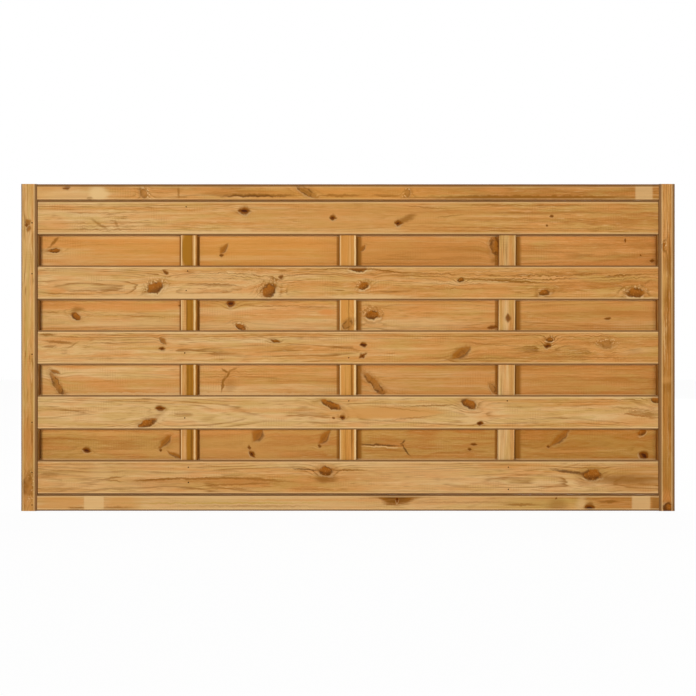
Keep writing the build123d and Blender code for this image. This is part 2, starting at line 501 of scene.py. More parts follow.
def timber_material(name, upright, tone, pith, ring, contrast, fleck, cast=0.0, edges=(3.8, 4.7),
                    painted_highlight_most=0.45, shaded=(0.3, 0.3), stray=1.0, swells=(), curls=(), knots=(), streaks=(),
                    bands=()):
    """Softwood, kiln-dried pine, planed and pressure treated: satin, with warm translucent depth between
    dull latewood lines. The solid pattern is laid along the grain, in millimetres. What the values mean is
    said above the table of timbers."""
    chosen = settings()
    material = bpy.data.materials.new(name + "_planed_pine")
    material.use_nodes = True
    tree = material.node_tree
    low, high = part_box(name)
    coordinates = add(tree, "TexCoord", out="Object")
    in_mm = add(tree, "VectorMath", coordinates, (1000.0,) * 3, operation="MULTIPLY")
    split = add(tree, "SeparateXYZ", in_mm).node.outputs
    order = "ZYX" if upright else "XYZ"
    straight = add(tree, "CombineXYZ", *(split[axis] for axis in order))
    ragged = [add(tree, "TexNoise", straight, scale, 2.0, 0.6) for scale in RAGGED_SCALES]
    both_ways = add(tree, "CombineXYZ", ragged[0], 0.5, ragged[1])
    centred = add(tree, "VectorMath", both_ways, (0.5,) * 3, operation="SUBTRACT")
    farthest = tuple(each * stray for each in RAGGED_REACH)
    shift = add(tree, "VectorMath", centred, farthest, operation="MULTIPLY")
    place = add(tree, "VectorMath", straight, shift, operation="ADD")
    blob = add(tree, "TexNoise", straight, BLOB_SCALE, 1.0, 0.5)
    speckle = add(tree, "TexNoise", straight, SPECKLE_SCALE, 1.0, 0.5)
    wisps = tuple(1 / each for each in FRAY_SIZE)
    drawn_out = add(tree, "VectorMath", straight, wisps, operation="MULTIPLY")
    ragged_edge = add(tree, "TexNoise", drawn_out, 1.0, 2.0, 0.55)

    def oval(at, x, z, half_length, half_width, turn=0.0):
        """An oval through the whole depth, its length turned clockwise from the grain by so many degrees."""
        centre = (z, 0.0, x) if upright else (x, 0.0, z)
        angle = (0.0, math.radians(turn), 0.0)
        return add(tree, "Group", at, centre, angle, (half_length, THROUGH, half_width),
                   node_tree=group("oval")).node.outputs

    # Knots push the grain aside, swell the rings and stir the wood round them
    swell = 0.0
    push = 0.0
    curl = 0.0
    kinds = knot_kinds()
    for x, z, kind, half_length, half_width, *turn in knots:
        knot = oval(straight, x, z, half_length, half_width, *turn)
        *face, rings, stir = kinds[kind]
        rings_here = rings * math.sqrt(half_width / USUAL_KNOT)
        swell = add(tree, "Math", knot["Swell"], rings_here, swell, operation="MULTIPLY_ADD")
        push = add(tree, "Math", knot["Push"], KNOT_PUSH * half_width, push, operation="MULTIPLY_ADD")
        stirred = add(tree, "Math", knot["Swell"], stir, operation="MULTIPLY")
        curl = add(tree, "Math", curl, stirred, operation="MAXIMUM")
    for x, z, half_length, half_width, rings in swells:
        arch = oval(straight, x, z, half_length, half_width)["Swell"]
        swell = add(tree, "Math", arch, rings, swell, operation="MULTIPLY_ADD")
    for x, z, half_length, half_width in curls:
        whirl = oval(straight, x, z, half_length, half_width)["Swell"]
        curl = add(tree, "Math", curl, whirl, operation="MAXIMUM")
    parted = add(tree, "CombineXYZ", 0.0, 0.0, push)
    pushed = add(tree, "VectorMath", straight, parted, operation="ADD")
    eddies = [add(tree, "TexNoise", straight, scale, 2.0, 0.5) for scale in EDDY_SCALES]
    eddy = add(tree, "CombineXYZ", eddies[0], 0.5, eddies[1])
    level_eddy = add(tree, "VectorMath", eddy, (0.5,) * 3, operation="SUBTRACT")
    turned = add(tree, "VectorMath", level_eddy, EDDY_REACH, operation="MULTIPLY")
    stirred = add(tree, "VectorMath", turned, curl, operation="SCALE")
    bent = add(tree, "VectorMath", stirred, pushed, operation="ADD")

    # The tone runs from one end of the timber to the other, and no two timbers share a piece of grain. On
    # most timbers it darkens towards the right end, partly the wood's own tone and partly painted shade where
    # the light falls off.
    ends = (low[Z], high[Z]) if upright else (low[X], high[X])
    along = add(tree, "SeparateXYZ", straight).node.outputs["X"]
    tone_here = add(tree, "MapRange", along, ends[0] / MM, ends[1] / MM, *tone)
    centre = (low + high) / 2 / MM
    sideways = centre[X] if upright else centre[Z]
    seed = tuple(each * step for each, step in zip((sideways, centre[Y], sideways), SEED_STEPS))
    contrast_here = add(tree, "Math", curl, STIRRED_CONTRAST, contrast, operation="MULTIPLY_ADD")
    heart = (0.0, pith[0], sideways + pith[1])
    wood = add(tree, "Group", bent, swell, tone_here, cast, heart, ring, contrast_here, fleck, seed,
               node_tree=group("pine")).node.outputs
    colour = wood["Color"]

    # Streaks and knots go right through the timber, and bands lie on its front only. On the rear boards the
    # bands are painted shade beside the left stile and the battens.
    for x, z, half_length, half_width, turn, shade, strength, soft in streaks:
        shape = oval(place, x, z, half_length, half_width, turn)["Distance"]
        rough = add(tree, "Math", ragged_edge, FRAY_REACH * stray, shape, operation="MULTIPLY_ADD")
        outline = 1.0 + FRAY_REACH / 2 * stray
        mask = add(tree, "MapRange", rough, outline + soft / 2, outline - soft, 0.0, strength,
                   interpolation_type="SMOOTHSTEP")
        colour = add(tree, "Mix", mask, colour, getattr(chosen, shade), data_type="RGBA")
    normal = add(tree, "NewGeometry", out="True Normal")
    forward = add(tree, "SeparateXYZ", normal).node.outputs["Y"]
    in_front = add(tree, "MapRange", forward, 0.1, -0.1, 0.0, 1.0)
    for x, full, end, shade, strength in bands:
        beyond = add(tree, "Math", along, x, operation="SUBTRACT")
        away = add(tree, "Math", beyond, operation="ABSOLUTE")
        mask = add(tree, "MapRange", away, end, full, 0.0, strength, interpolation_type="SMOOTHSTEP")
        colour = paint_layers(tree, colour, [(getattr(chosen, shade), mask, in_front)])
    for x, z, kind, *reach in knots:
        knot = oval(place, x, z, *reach)
        painter, face, shares, *_ = kinds[kind]
        if painter == "knot":
            shape = (blob, speckle, knot["Distance"], knot["Side"])
        else:
            shape = (blob, knot["Spindle"], knot["Side"])
        colour = add(tree, "Group", colour, *shape, face, *shares, node_tree=group(painter))

    # Narrow faces get painted shade, set for each timber. Arrises get a dark band, partly dirt and partly
    # painted shade, with a painted highlight beside it, and end grain is dull. Each row says what the layer
    # is read from, where it begins and is full, how strong it is there, and its shade.
    unsigned = add(tree, "VectorMath", normal, operation="ABSOLUTE")
    facing = add(tree, "SeparateXYZ", unsigned).node.outputs
    half = (high - low) / 2 / MM
    from_middle = add(tree, "VectorMath", straight, (0.0, centre[Y], sideways), operation="SUBTRACT")
    either = add(tree, "VectorMath", from_middle, operation="ABSOLUTE")
    half_across = half[X] if upright else half[Z]
    from_corner = add(tree, "VectorMath", either, (0.0, half[Y], half_across), operation="SUBTRACT")
    level = add(tree, "VectorMath", from_corner, (0.0, 1.0, 1.0), operation="MULTIPLY")
    from_arris = add(tree, "VectorMath", level, operation="LENGTH", out="Value")
    side = add(tree, "SeparateXYZ", from_middle).node.outputs["Z"]
    dark_arris_reach = add(tree, "MapRange", side, -1.0, 1.0, *edges)
    past_dark_arris = add(tree, "Math", from_arris, dark_arris_reach, operation="SUBTRACT")
    shading = add(tree, "MapRange", side, -1.0, 1.0, *shaded)
    layers = (
        (facing[order[2]], 0.8, 0.98, shading, chosen.umber),
        (past_dark_arris, 4.5, 1.0, painted_highlight_most, chosen.cream),
        (past_dark_arris, 0.8, -1.0, 0.8, chosen.arris_dirt_and_shade),
        (facing[order[0]], 0.6, 0.9, 0.45, chosen.umber),
    )
    for pattern, edge, full, most, shade in layers:
        share = add(tree, "MapRange", pattern, edge, full, 0.0, most, interpolation_type="SMOOTHSTEP")
        colour = add(tree, "Mix", share, colour, shade, data_type="RGBA")

    # Open pores scatter most of the light, and dense latewood is the duller for its raised fibres
    shader = tree.nodes["Principled BSDF"]
    tree.links.new(colour, shader.inputs["Base Color"])
    gloss = add(tree, "MapRange", wood["Height"], 0.0, 0.6, 0.5, 0.7)
    tree.links.new(gloss, shader.inputs["Roughness"])
    shader.inputs["IOR"].default_value = 1.5
    shader.inputs["Specular IOR Level"].default_value = 0.03
    relief = add(tree, "Bump", 0.5, RELIEF, None, wood["Height"])
    tree.links.new(relief, shader.inputs["Normal"])
    return material


# Nails that show on the front: x and z of each head, for the boards and for the left stile. At the back
# each crossing of a board and a batten has two, this far above and below the board's middle.
BOARD_NAILS = [(454, 838), (454, 607), (458, 661), (450, 435), (902, 422), (450, 256), (902, 303),
               (1339, 303), (460, 120), (460, 78), (1342, 120), (1342, 59)]
STILE_NAILS = [(31, 793), (31, 653), (31, 431), (31, 244), (31, 106), (31, 17)]
NAIL_OFFSET = 24

# Timbers. First come the values of the whole timber:
# tone at its left end or foot and at its other end, 0 for sapwood and 1 for heartwood, its change along the
# timber partly painted shade,
# pith, the centre of the rings: millimetres behind the panel's middle and above or right of the timber's,
# ring, the width of a year's growth in millimetres, contrast of the latewood, fleck of the resin ducts,
# cast, towards olive below 0 and towards russet above,
# edges, how far in from the lower or left arris and from the other one the dark band, partly dirt and partly
# painted shade, reaches, in millimetres,
# painted_highlight_most, strength of the painted highlight beside it,
# shaded, strength of the painted shade on the lower or left narrow face and on the other one,
# stray, how far streaks and knots leave their drawn outlines.
# Then come lists of what lies on it, with lengths in millimetres and turns clockwise in degrees:
# knots: x, z, kind, half length, half width and, where it has one, its turn,
# swells of the rings: x, z, half length, half width, rings,
# curls of the grain: x, z, half length, half width,
# streaks, the broad ones first: x, z, half length, half width, turn, shade, strength, softness,
# bands across its front: x, how far from there the band is full and where it ends, shade, strength.
TIMBERS = {
    "top_rail": dict(
        tone=(0.45, 1.0), pith=(-60, 14), ring=4.2, contrast=0.5, fleck=0.7, edges=(2.8, 7.6),
        painted_highlight_most=0.2,
        knots=[(126, 889, "pin", 9, 4), (338, 873, "smear", 15, 8, 65), (783, 880, "eye", 25, 9, 32),
               (1065, 874, "smear", 10, 7, -60)],
        streaks=[(900, 872, 330, 60, 0, "gold", 0.4, 0.8), (80, 875, 60, 14, 0, "gold", 0.5, 0.8),
                 (140, 868, 120, 22, 0, "straw", 0.55, 0.6), (215, 872, 30, 23, 0, "blond", 0.8, 0.5),
                 (190, 861, 9, 4, 0, "umber", 0.6, 0.6), (433, 876, 16, 4, 90, "umber", 0.6, 0.6),
                 (650, 868, 110, 5, 0, "umber", 0.85, 0.5), (878, 868, 60, 4, 0, "umber", 0.7, 0.6),
                 (1000, 868, 40, 4, 0, "umber", 0.6, 0.6), (1190, 866, 120, 5, 0, "olive", 0.5, 0.7),
                 (640, 866, 100, 3, 0, "bark", 0.6, 0.5), (1285, 863, 75, 7, 0, "bark", 0.4, 0.6),
                 (783, 880, 20, 3, 32, "umber", 0.6, 0.6),
                 (1400, 863, 330, 6, 0, "umber", 0.9, 0.6)],
        bands=[(1714, 20, 27, "straw", 0.65)]),
    "bottom_rail": dict(
        tone=(0.06, 0.74), pith=(-50, -12), ring=4.0, contrast=0.55, fleck=0.9, edges=(4.8, 4.0),
        knots=[(1034, 32, "dead", 4, 8), (1564, 9, "dead", 12, 8), (1472, 36, "pin", 3, 3)],
        streaks=[(640, 20, 460, 60, 0, "straw", 0.6, 0.8), (1250, 26, 230, 16, 0, "straw", 0.4, 0.8),
                 (1034, 44, 95, 12, 0, "umber", 0.9, 0.4), (1034, 44, 48, 30, 0, "umber", 1.0, 0.25),
                 (1034, 40, 30, 22, 0, "bark", 0.35, 0.6),
                 (110, 20, 75, 40, 0, "honey", 0.7, 0.6),
                 (280, 20, 55, 30, 0, "honey", 0.7, 0.6), (155, 8, 25, 5, 0, "umber", 0.7, 0.6),
                 (265, 8, 50, 6, 0, "umber", 0.6, 0.7),
                 (620, 28, 330, 6, 0, "olive", 0.3, 0.8),
                 (1430, 20, 150, 18, 0, "olive", 0.7, 0.8), (1640, 22, 75, 25, 0, "amber", 0.5, 0.8),
                 (1540, 20, 16, 24, 0, "straw", 0.6, 0.7), (1500, 30, 40, 8, 0, "olive", 0.7, 0.7),
                 (1380, 18, 60, 4, 0, "umber", 0.7, 0.7),
                 (1476, 14, 32, 22, 0, "umber", 0.5, 0.6), (1619, 26, 32, 4, 0, "umber", 0.8, 0.6),
                 (560, 22, 300, 3, 0, "olive", 0.9, 0.6), (640, 14, 200, 3, 0, "umber", 0.4, 0.7),
                 (800, 30, 240, 3, 0, "russet", 0.4, 0.7), (1230, 24, 170, 3, 0, "umber", 0.35, 0.7),
                 (1748, 14, 18, 30, 0, "umber", 0.7, 0.6)],
        bands=[(201, 25, 29, "blond", 0.65), (1706, 22, 28, "straw", 0.75)]),
    "front_board_1": dict(
        tone=(0.2, 0.8), pith=(-45, 8), ring=4.0, contrast=0.55, fleck=1.0, cast=-0.03,
        knots=[(614, 826, "dead", 15, 7.5), (858, 807, "dead", 8, 5.5), (1039, 792, "dead", 11, 6.5),
               (1462, 811, "pin", 6, 3), (1448, 786, "pin", 3, 2.5)],
        curls=[(222, 788, 36, 18)],
        streaks=[(960, 807, 330, 60, 0, "amber", 0.25, 0.9), (960, 807, 330, 60, 0, "honey", 0.5, 0.9),
                 (215, 790, 32, 5, 32, "umber", 0.6, 0.8),
                 (262, 790, 12, 5, 60, "umber", 0.5, 0.8),
                 (85, 793, 50, 24, 0, "russet", 0.35, 0.8), (480, 767, 430, 6, 0, "straw", 0.5, 0.7),
                 (1064, 806, 28, 10, -25, "umber", 0.75, 0.7), (1115, 836, 60, 2.4, 4, "umber", 0.5, 0.6),
                 (1180, 812, 40, 2.4, -6, "umber", 0.4, 0.6), (1010, 772, 60, 7, 0, "straw", 0.35, 0.8),
                 (1560, 822, 150, 4, 2, "umber", 0.3, 0.8), (1610, 778, 90, 3, 0, "umber", 0.3, 0.7),
                 (1290, 842, 90, 2.5, 0, "umber", 0.45, 0.7), (1500, 842, 60, 2.5, 0, "umber", 0.4, 0.7)]),
    "rear_board_1": dict(
        tone=(0.42, 0.82), pith=(-45, -8), ring=3.4, contrast=0.4, fleck=0.45, cast=0.08,
        knots=[(84, 719, "plain", 14, 6, -5), (555, 724, "spike", 14, 6, -50), (548, 706, "pin", 5, 3.5),
               (941, 726, "spike", 10, 4, -45), (1308, 732, "leaf", 24, 12, 85),
               (1671, 748, "pin", 6, 2, 90), (1713, 707, "pin", 2, 2), (1745, 690, "pin", 6, 4)],
        streaks=[(560, 718, 560, 90, 0, "gold", 0.5, 0.9), (1130, 718, 280, 90, 0, "amber", 0.35, 0.8),
                 (84, 743, 24, 5, -44, "umber", 0.85, 0.6),
                 (62, 718, 16, 6, 0, "umber", 0.4, 0.8), (300, 677, 250, 4, 0, "russet", 0.5, 0.8),
                 (1000, 684, 160, 2, 0, "umber", 0.4, 0.7), (1309, 690, 14, 8, 0, "umber", 0.5, 0.8),
                 (1120, 694, 130, 2, 0, "umber", 0.3, 0.7)]),
    "front_board_2": dict(
        tone=(0.18, 0.74), pith=(-38, -6), ring=4.2, contrast=0.75, fleck=1.15,
        knots=[(370, 615, "live", 22, 13, -24), (396, 658, "pin", 9, 4, 35), (684, 607, "live", 19, 17, -40),
               (715, 644, "pin", 6, 4.5), (930, 668, "live", 22, 9), (943, 619, "live", 13, 9, -28),
               (1211, 636, "plain", 9, 5), (1441, 601, "plain", 14, 7, -10), (1691, 600, "live", 20, 12)],
        swells=[(1400, 634, 190, 12, 3)],
        curls=[(1441, 640, 40, 16), (1690, 630, 44, 20), (1211, 636, 40, 26), (600, 640, 60, 20)],
        streaks=[(480, 592, 340, 9, 0, "straw", 0.7, 0.7), (960, 591, 130, 7, 0, "straw", 0.65, 0.5),
                 (150, 606, 60, 2.5, 0, "umber", 0.4, 0.7),
                 (98, 606, 32, 9, 0, "russet", 0.6, 0.6), (95, 598, 26, 2.4, 0, "umber", 0.5, 0.6),
                 (1330, 634, 138, 3.2, 3, "umber", 0.9, 0.5),
                 (860, 652, 110, 2, -1, "umber", 0.35, 0.7), (875, 668, 64, 2.6, -3, "umber", 0.85, 0.5),
                 (1005, 661, 60, 2.6, 7, "umber", 0.8, 0.5), (1080, 651, 70, 2, 1, "umber", 0.4, 0.7),
                 (1470, 655, 50, 5, 12, "umber", 0.4, 0.9), (1690, 594, 16, 8, 0, "russet", 0.5, 0.7)]),
    "rear_board_2": dict(
        tone=(0.42, 0.6), pith=(-40, 10), ring=3.8, contrast=0.5, fleck=0.75,
        knots=[(144, 537, "plain", 14, 9, 25), (433, 567, "pin", 4, 3), (574, 573, "dead", 11, 9),
               (601, 507, "live", 12, 7, 25), (968, 540, "live", 16, 12), (1302, 506, "pin", 13, 4),
               (1622, 530, "pin", 8, 3)],
        curls=[(150, 552, 26, 14)],
        streaks=[(1570, 540, 280, 90, 0, "amber", 0.3, 0.8), (300, 562, 200, 11, 0, "russet", 0.55, 0.8),
                 (280, 516, 230, 16, 0, "straw", 0.45, 0.8), (650, 512, 190, 14, 0, "straw", 0.5, 0.8),
                 (700, 548, 110, 8, 0, "russet", 0.5, 0.8), (838, 548, 26, 9, 0, "russet", 0.9, 0.6),
                 (720, 565, 170, 2, 1, "umber", 0.5, 0.7), (1120, 515, 150, 15, 0, "straw", 0.45, 0.8),
                 (1060, 562, 140, 10, 0, "amber", 0.25, 0.8), (1640, 548, 120, 7, 3, "amber", 0.55, 0.8),
                 (250, 540, 60, 2, 0, "umber", 0.35, 0.7),
                 (340, 536, 60, 2.4, 1, "umber", 0.5, 0.7), (75, 548, 32, 2.4, 0, "umber", 0.5, 0.6),
                 (148, 556, 20, 8, 0, "umber", 0.7, 0.8)]),
    "front_board_3": dict(
        tone=(0.1, 0.74), pith=(-42, 0), ring=4.2, contrast=0.75, fleck=0.95,
        knots=[(390, 467, "spike", 12, 4.5, 45), (388, 446, "dead", 9, 4.5), (699, 468, "plain", 11, 4.5, 10),
               (942, 457, "dead", 8, 4.5), (942, 427, "dead", 9, 4.5, -35), (1213, 436, "spike", 26, 10, -35),
               (1456, 471, "live", 9, 6), (1450, 455, "dead", 10, 5.5), (1611, 458, "smear", 16, 10)],
        curls=[(1600, 455, 50, 22), (1450, 455, 30, 16), (90, 460, 50, 14)],
        streaks=[(120, 470, 90, 12, 0, "russet", 0.4, 0.8), (72, 485, 26, 4, 0, "umber", 0.8, 0.5),
                 (104, 465, 45, 4, 4, "umber", 0.75, 0.6), (76, 453, 20, 4, 0, "umber", 0.65, 0.6),
                 (140, 456, 20, 3, -30, "umber", 0.5, 0.6), (1290, 420, 190, 2.4, 0, "umber", 0.55, 0.7),
                 (1560, 423, 150, 2.4, 1, "umber", 0.5, 0.7), (1300, 458, 90, 2.4, 4, "umber", 0.4, 0.7),
                 (250, 412, 200, 8, 0, "straw", 0.35, 0.7), (470, 490, 140, 4, 0, "straw", 0.5, 0.7),
                 (1530, 444, 30, 5, 0, "umber", 0.35, 0.9), (1700, 440, 60, 8, -6, "straw", 0.3, 0.8)]),
    "rear_board_3": dict(
        tone=(0.27, 0.8), pith=(-40, -10), ring=3.6, contrast=0.3, fleck=0.5,
        knots=[(92, 345, "leaf", 34, 8, 61), (85, 383, "spike", 14, 4, 22),
               (974, 347, "leaf", 38, 9.5, 47), (1302, 336, "eye", 12, 7, 60)],
        curls=[(566, 380, 26, 15)],
        streaks=[(1330, 360, 560, 90, 0, "amber", 0.3, 0.8), (552, 348, 26, 4, -78, "umber", 0.85, 0.5),
                 (558, 385, 12, 4, 35, "umber", 0.85, 0.6),
                 (566, 373, 14, 3.4, -50, "umber", 0.85, 0.6), (580, 388, 16, 3, -25, "umber", 0.6, 0.6),
                 (572, 342, 18, 22, 0, "umber", 0.35, 0.8),
                 (480, 322, 400, 4, 0, "straw", 0.7, 0.5), (1150, 325, 150, 6, 0, "honey", 0.4, 0.7),
                 (1312, 370, 30, 3, 90, "umber", 0.75, 0.6), (700, 398, 500, 5, 0, "russet", 0.35, 0.8)]),
    "front_board_4": dict(
        tone=(0.0, 0.24), pith=(-38, 6), ring=4.2, contrast=0.65, fleck=0.9, cast=-0.06,
        knots=[(382, 282, "dead", 12, 5.5), (345, 240, "plain", 26, 9, -24), (853, 292, "plain", 27, 8.5, 22),
               (886, 258, "dead", 7.5, 5.5), (860, 256, "pin", 3, 2), (1234, 294, "plain", 21, 11, 24),
               (1264, 241, "dead", 7, 4), (1748, 306, "plain", 14, 9)],
        swells=[(1000, 268, 220, 20, 3), (690, 268, 110, 18, 3)],
        curls=[(1720, 285, 40, 22)],
        streaks=[(392, 262, 34, 8, -35, "blond", 0.5, 0.6), (1000, 271, 180, 18, 0, "honey", 0.9, 0.4),
                 (660, 277, 210, 7, 0, "russet", 0.4, 0.7), (1125, 290, 110, 2, -1, "umber", 0.75, 0.7),
                 (1040, 281, 80, 2, 6, "umber", 0.4, 0.7), (1070, 255, 100, 2, -6, "umber", 0.45, 0.7),
                 (1250, 281, 20, 6, 24, "blond", 0.6, 0.6), (130, 277, 80, 2.4, 3, "umber", 0.4, 0.7),
                 (1690, 250, 70, 16, 0, "russet", 0.45, 0.8), (1680, 282, 60, 3, 4, "umber", 0.5, 0.8),
                 (1700, 298, 40, 5, 20, "umber", 0.4, 0.8)]),
    "rear_board_4": dict(
        tone=(0.78, 1.05), pith=(-45, 6), ring=3.6, contrast=0.35, fleck=0.6, cast=-0.1,
        knots=[(172, 164, "dead", 11, 5.5, 15), (392, 189, "spike", 22, 7, -45), (378, 165, "pin", 3.5, 2.5),
               (420, 150, "spike", 20, 4.5, 28), (650, 206, "spike", 20, 10, -50),
               (626, 173, "pin", 4.5, 3.5),
               (633, 153, "dead", 10, 5, 50), (835, 200, "spike", 22, 8, -48), (820, 176, "pin", 5, 3),
               (1250, 181, "pin", 9, 3), (1240, 166, "pin", 6, 2.5), (1490, 200, "spike", 32, 8, -42),
               (1457, 174, "pin", 4.5, 3.5), (1718, 214, "plain", 12, 8, -30),
               (1722, 150, "dead", 13, 8, 32)],
        streaks=[(620, 180, 240, 90, 0, "honey", 0.4, 0.8), (1580, 180, 280, 90, 0, "bronze", 0.3, 0.8),
                 # A forked crack: dark lines of painted shade in it, and a painted highlight along its lower
                 # lip
                 (985, 179, 60, 2.6, 2, "bark", 0.75, 0.6),
                 (1060, 165, 22, 2.8, 50, "bark", 0.75, 0.6),
                 (1052, 188, 9, 2.8, -40, "bark", 0.7, 0.6), (985, 174, 60, 2, 2, "cream", 0.5, 0.6),
                 (430, 168, 26, 18, 0, "honey", 0.5, 0.7), (240, 205, 60, 20, 0, "honey", 0.3, 0.8),
                 (500, 160, 300, 14, 0, "honey", 0.35, 0.8)]),
    "front_board_5": dict(
        tone=(0.4, 0.32), pith=(-36, -4), ring=4.2, contrast=0.8, fleck=1.1, cast=-0.02,
        knots=[(839, 110, "plain", 17, 12), (1572, 99, "plain", 24, 14)],
        swells=[(455, 80, 240, 17, 4)],
        streaks=[(250, 92, 260, 90, 0, "straw", 0.25, 0.8), (1110, 92, 230, 60, 0, "straw", 0.4, 0.8),
                 (1700, 92, 110, 60, 0, "amber", 0.4, 0.8),
                 (839, 90, 34, 15, 0, "umber", 0.8, 0.7), (782, 114, 42, 2.6, 5, "bark", 0.7, 0.6),
                 (900, 112, 52, 2.2, 0, "umber", 0.9, 0.6),
                 (1512, 107, 54, 4, 8, "bark", 0.75, 0.6), (1665, 86, 105, 16, 1, "umber", 0.75, 0.8),
                 (1560, 73, 34, 9, 20, "umber", 0.3, 0.9), (490, 89, 150, 3.4, -1, "umber", 0.8, 0.5),
                 (372, 86, 60, 3.4, -3, "umber", 0.8, 0.5),
                 (245, 90, 38, 3, -8, "umber", 0.7, 0.5), (250, 83, 40, 2.6, 6, "umber", 0.6, 0.6),
                 (640, 87, 100, 4, 4, "umber", 0.7, 0.6), (560, 81, 150, 8, 0, "amber", 0.6, 0.7),
                 (600, 73, 110, 3, -2, "umber", 0.6, 0.6), (350, 82, 70, 6, 0, "umber", 0.3, 0.8),
                 (560, 62, 120, 2.2, -1, "umber", 0.4, 0.7), (80, 100, 30, 5, 0, "umber", 0.5, 0.8),
                 (110, 108, 60, 5, 0, "umber", 0.3, 0.9), (110, 60, 50, 4, 0, "umber", 0.3, 0.9),
                 (218, 100, 32, 40, 0, "straw", 0.25, 0.7), (900, 125, 300, 10, 0, "straw", 0.3, 0.8)]),
    "left_stile": dict(
        tone=(0.72, 0.42), pith=(-50, 20), ring=4.0, contrast=0.6, fleck=1.3, cast=-0.05, edges=(4.6, 7.2),
        shaded=(0.1, 0.8),
        knots=[(20, 795, "spike", 8, 5, 30), (15, 786, "pin", 5, 4), (22, 777, "spike", 9, 4, -20),
               (18, 69, "smear", 22, 13)],
        streaks=[(22, 200, 60, 16, 0, "amber", 0.4, 0.8), (24, 40, 40, 16, 0, "russet", 0.4, 0.8),
                 (30, 210, 34, 4, 0, "umber", 0.5, 0.7), (16, 470, 130, 4, 0, "olive", 0.7, 0.7),
                 (28, 330, 50, 3, 0, "umber", 0.4, 0.7), (33, 410, 18, 3, 0, "umber", 0.5, 0.7),
                 (25, 92, 30, 5, -12, "umber", 0.5, 0.8), (20, 620, 120, 5, 0, "olive", 0.6, 0.8)]),
    "right_stile": dict(
        tone=(0.9, 0.72), pith=(-50, -18), ring=3.8, contrast=0.9, fleck=1.5, edges=(7.5, 7.8),
        shaded=(0.8, 0.1),
        knots=[(1766, 729, "live", 9, 5), (1780, 10, "plain", 12, 13)],
        streaks=[(1775, 240, 260, 40, 0, "bronze", 0.3, 0.8), (1775, 340, 190, 17, 0, "amber", 0.5, 0.8),
                 (1789, 400, 240, 3, 0, "umber", 0.6, 0.7),
                 (1768, 330, 120, 2.4, 0, "umber", 0.6, 0.6), (1780, 200, 90, 2.4, 0, "straw", 0.2, 0.6),
                 (1779, 560, 120, 3, 0, "umber", 0.6, 0.6), (1771, 470, 60, 2.4, 0, "straw", 0.5, 0.6),
                 (1784, 690, 70, 4, 0, "umber", 0.5, 0.7), (1776, 30, 30, 14, 0, "russet", 0.5, 0.7),
                 (1778, 676, 30, 10, 0, "umber", 0.5, 0.8), (1776, 590, 36, 9, 0, "umber", 0.45, 0.8),
                 (1780, 342, 20, 14, 0, "umber", 0.5, 0.8), (1786, 252, 34, 8, 0, "umber", 0.5, 0.8),
                 (1782, 470, 40, 8, 0, "umber", 0.4, 0.8), (1780, 12, 14, 16, 0, "bark", 0.5, 0.7),
                 (1775, 830, 70, 14, 0, "honey", 0.6, 0.8), (1790, 800, 60, 2.5, 0, "amber", 0.8, 0.8),
                 (1776, 361, 14, 14, 0, "honey", 0.5, 0.6), (1770, 640, 50, 12, 0, "honey", 0.4, 0.8)]),
    "batten_1": dict(
        tone=(0.45, 0.5), pith=(-40, 0), ring=3.4, contrast=0.3, fleck=0.4, cast=0.05, edges=(0.5, -5.0),
        painted_highlight_most=0.7, shaded=(0.3, 0.8), stray=0.25,
        streaks=[(463, 400, 600, 11, 0, "bronze", 1.0, 0.3), (452, 720, 50, 13, 0, "bronze", 1.0, 0.3),
                 (467, 400, 600, 2.4, 0, "umber", 0.6, 0.6), (455, 540, 60, 2.4, 0, "bark", 0.35, 0.6),
                 (457.5, 360, 60, 2.4, 0, "bark", 0.35, 0.6), (468, 182, 70, 4, 0, "bark", 0.35, 0.6),
                 # A painted highlight along the right arris, and painted shade on the batten's right edge
                 (476, 400, 600, 2.4, 0, "cream", 0.7, 0.4), (484, 400, 600, 5, 0, "umber", 0.95, 0.3)]),
    "batten_2": dict(
        tone=(0.5, 0.38), pith=(-36, 30), ring=3.6, contrast=0.45, fleck=0.4, edges=(0.5, -5.0),
        painted_highlight_most=0.6, shaded=(0.3, 0.8), stray=0.25,
        knots=[(898, 514, "eye", 9, 16, 35)],
        streaks=[(900, 450, 600, 60, 0, "gold", 0.6, 0.9), (910.5, 300, 170, 3.6, 0, "umber", 0.9, 0.5),
                 (902, 540, 110, 2, 0, "umber", 0.5, 0.6), (893, 250, 150, 2, 0, "umber", 0.35, 0.6),
                 # A painted highlight along the right arris
                 (919.5, 400, 600, 3, 0, "cream", 0.85, 0.4)]),
    "batten_3": dict(
        tone=(0.2, 0.35), pith=(-36, -30), ring=3.6, contrast=0.5, fleck=0.5, edges=(0.5, 0.5),
        painted_highlight_most=0.5, shaded=(0.3, 0.8), stray=0.25,
        knots=[(1342, 531, "pin", 10, 5)],
        streaks=[(1338, 712, 40, 3, 0, "umber", 0.5, 0.7), (1330, 730, 30, 2, 0, "umber", 0.4, 0.7)]),
}

# Painted shade on the rear boards at each batten: how far from its left side the shade is full and where it
# ends, and the same for its right side
BATTEN_SHADE_REACH = {"batten_1": (4, 8, 2, 5), "batten_2": (6, 11, 10, 19), "batten_3": (6, 10, 12, 23)}


def rear_board_painted_shade():
    """Painted shade on a rear board's front: beside the left stile and on both sides of each batten."""
    shade_bands = [(stile_high[X] / MM, 1, 4, "bark", 0.7)]
    for name, (left_full, left_end, right_full, right_end) in BATTEN_SHADE_REACH.items():
        left_side, right_side = (corner[X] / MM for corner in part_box(name))
        shade_bands.append((left_side, left_full, left_end, "umber", 0.8))
        shade_bands.append((right_side, right_full, right_end, "umber", 0.95))
    return shade_bands


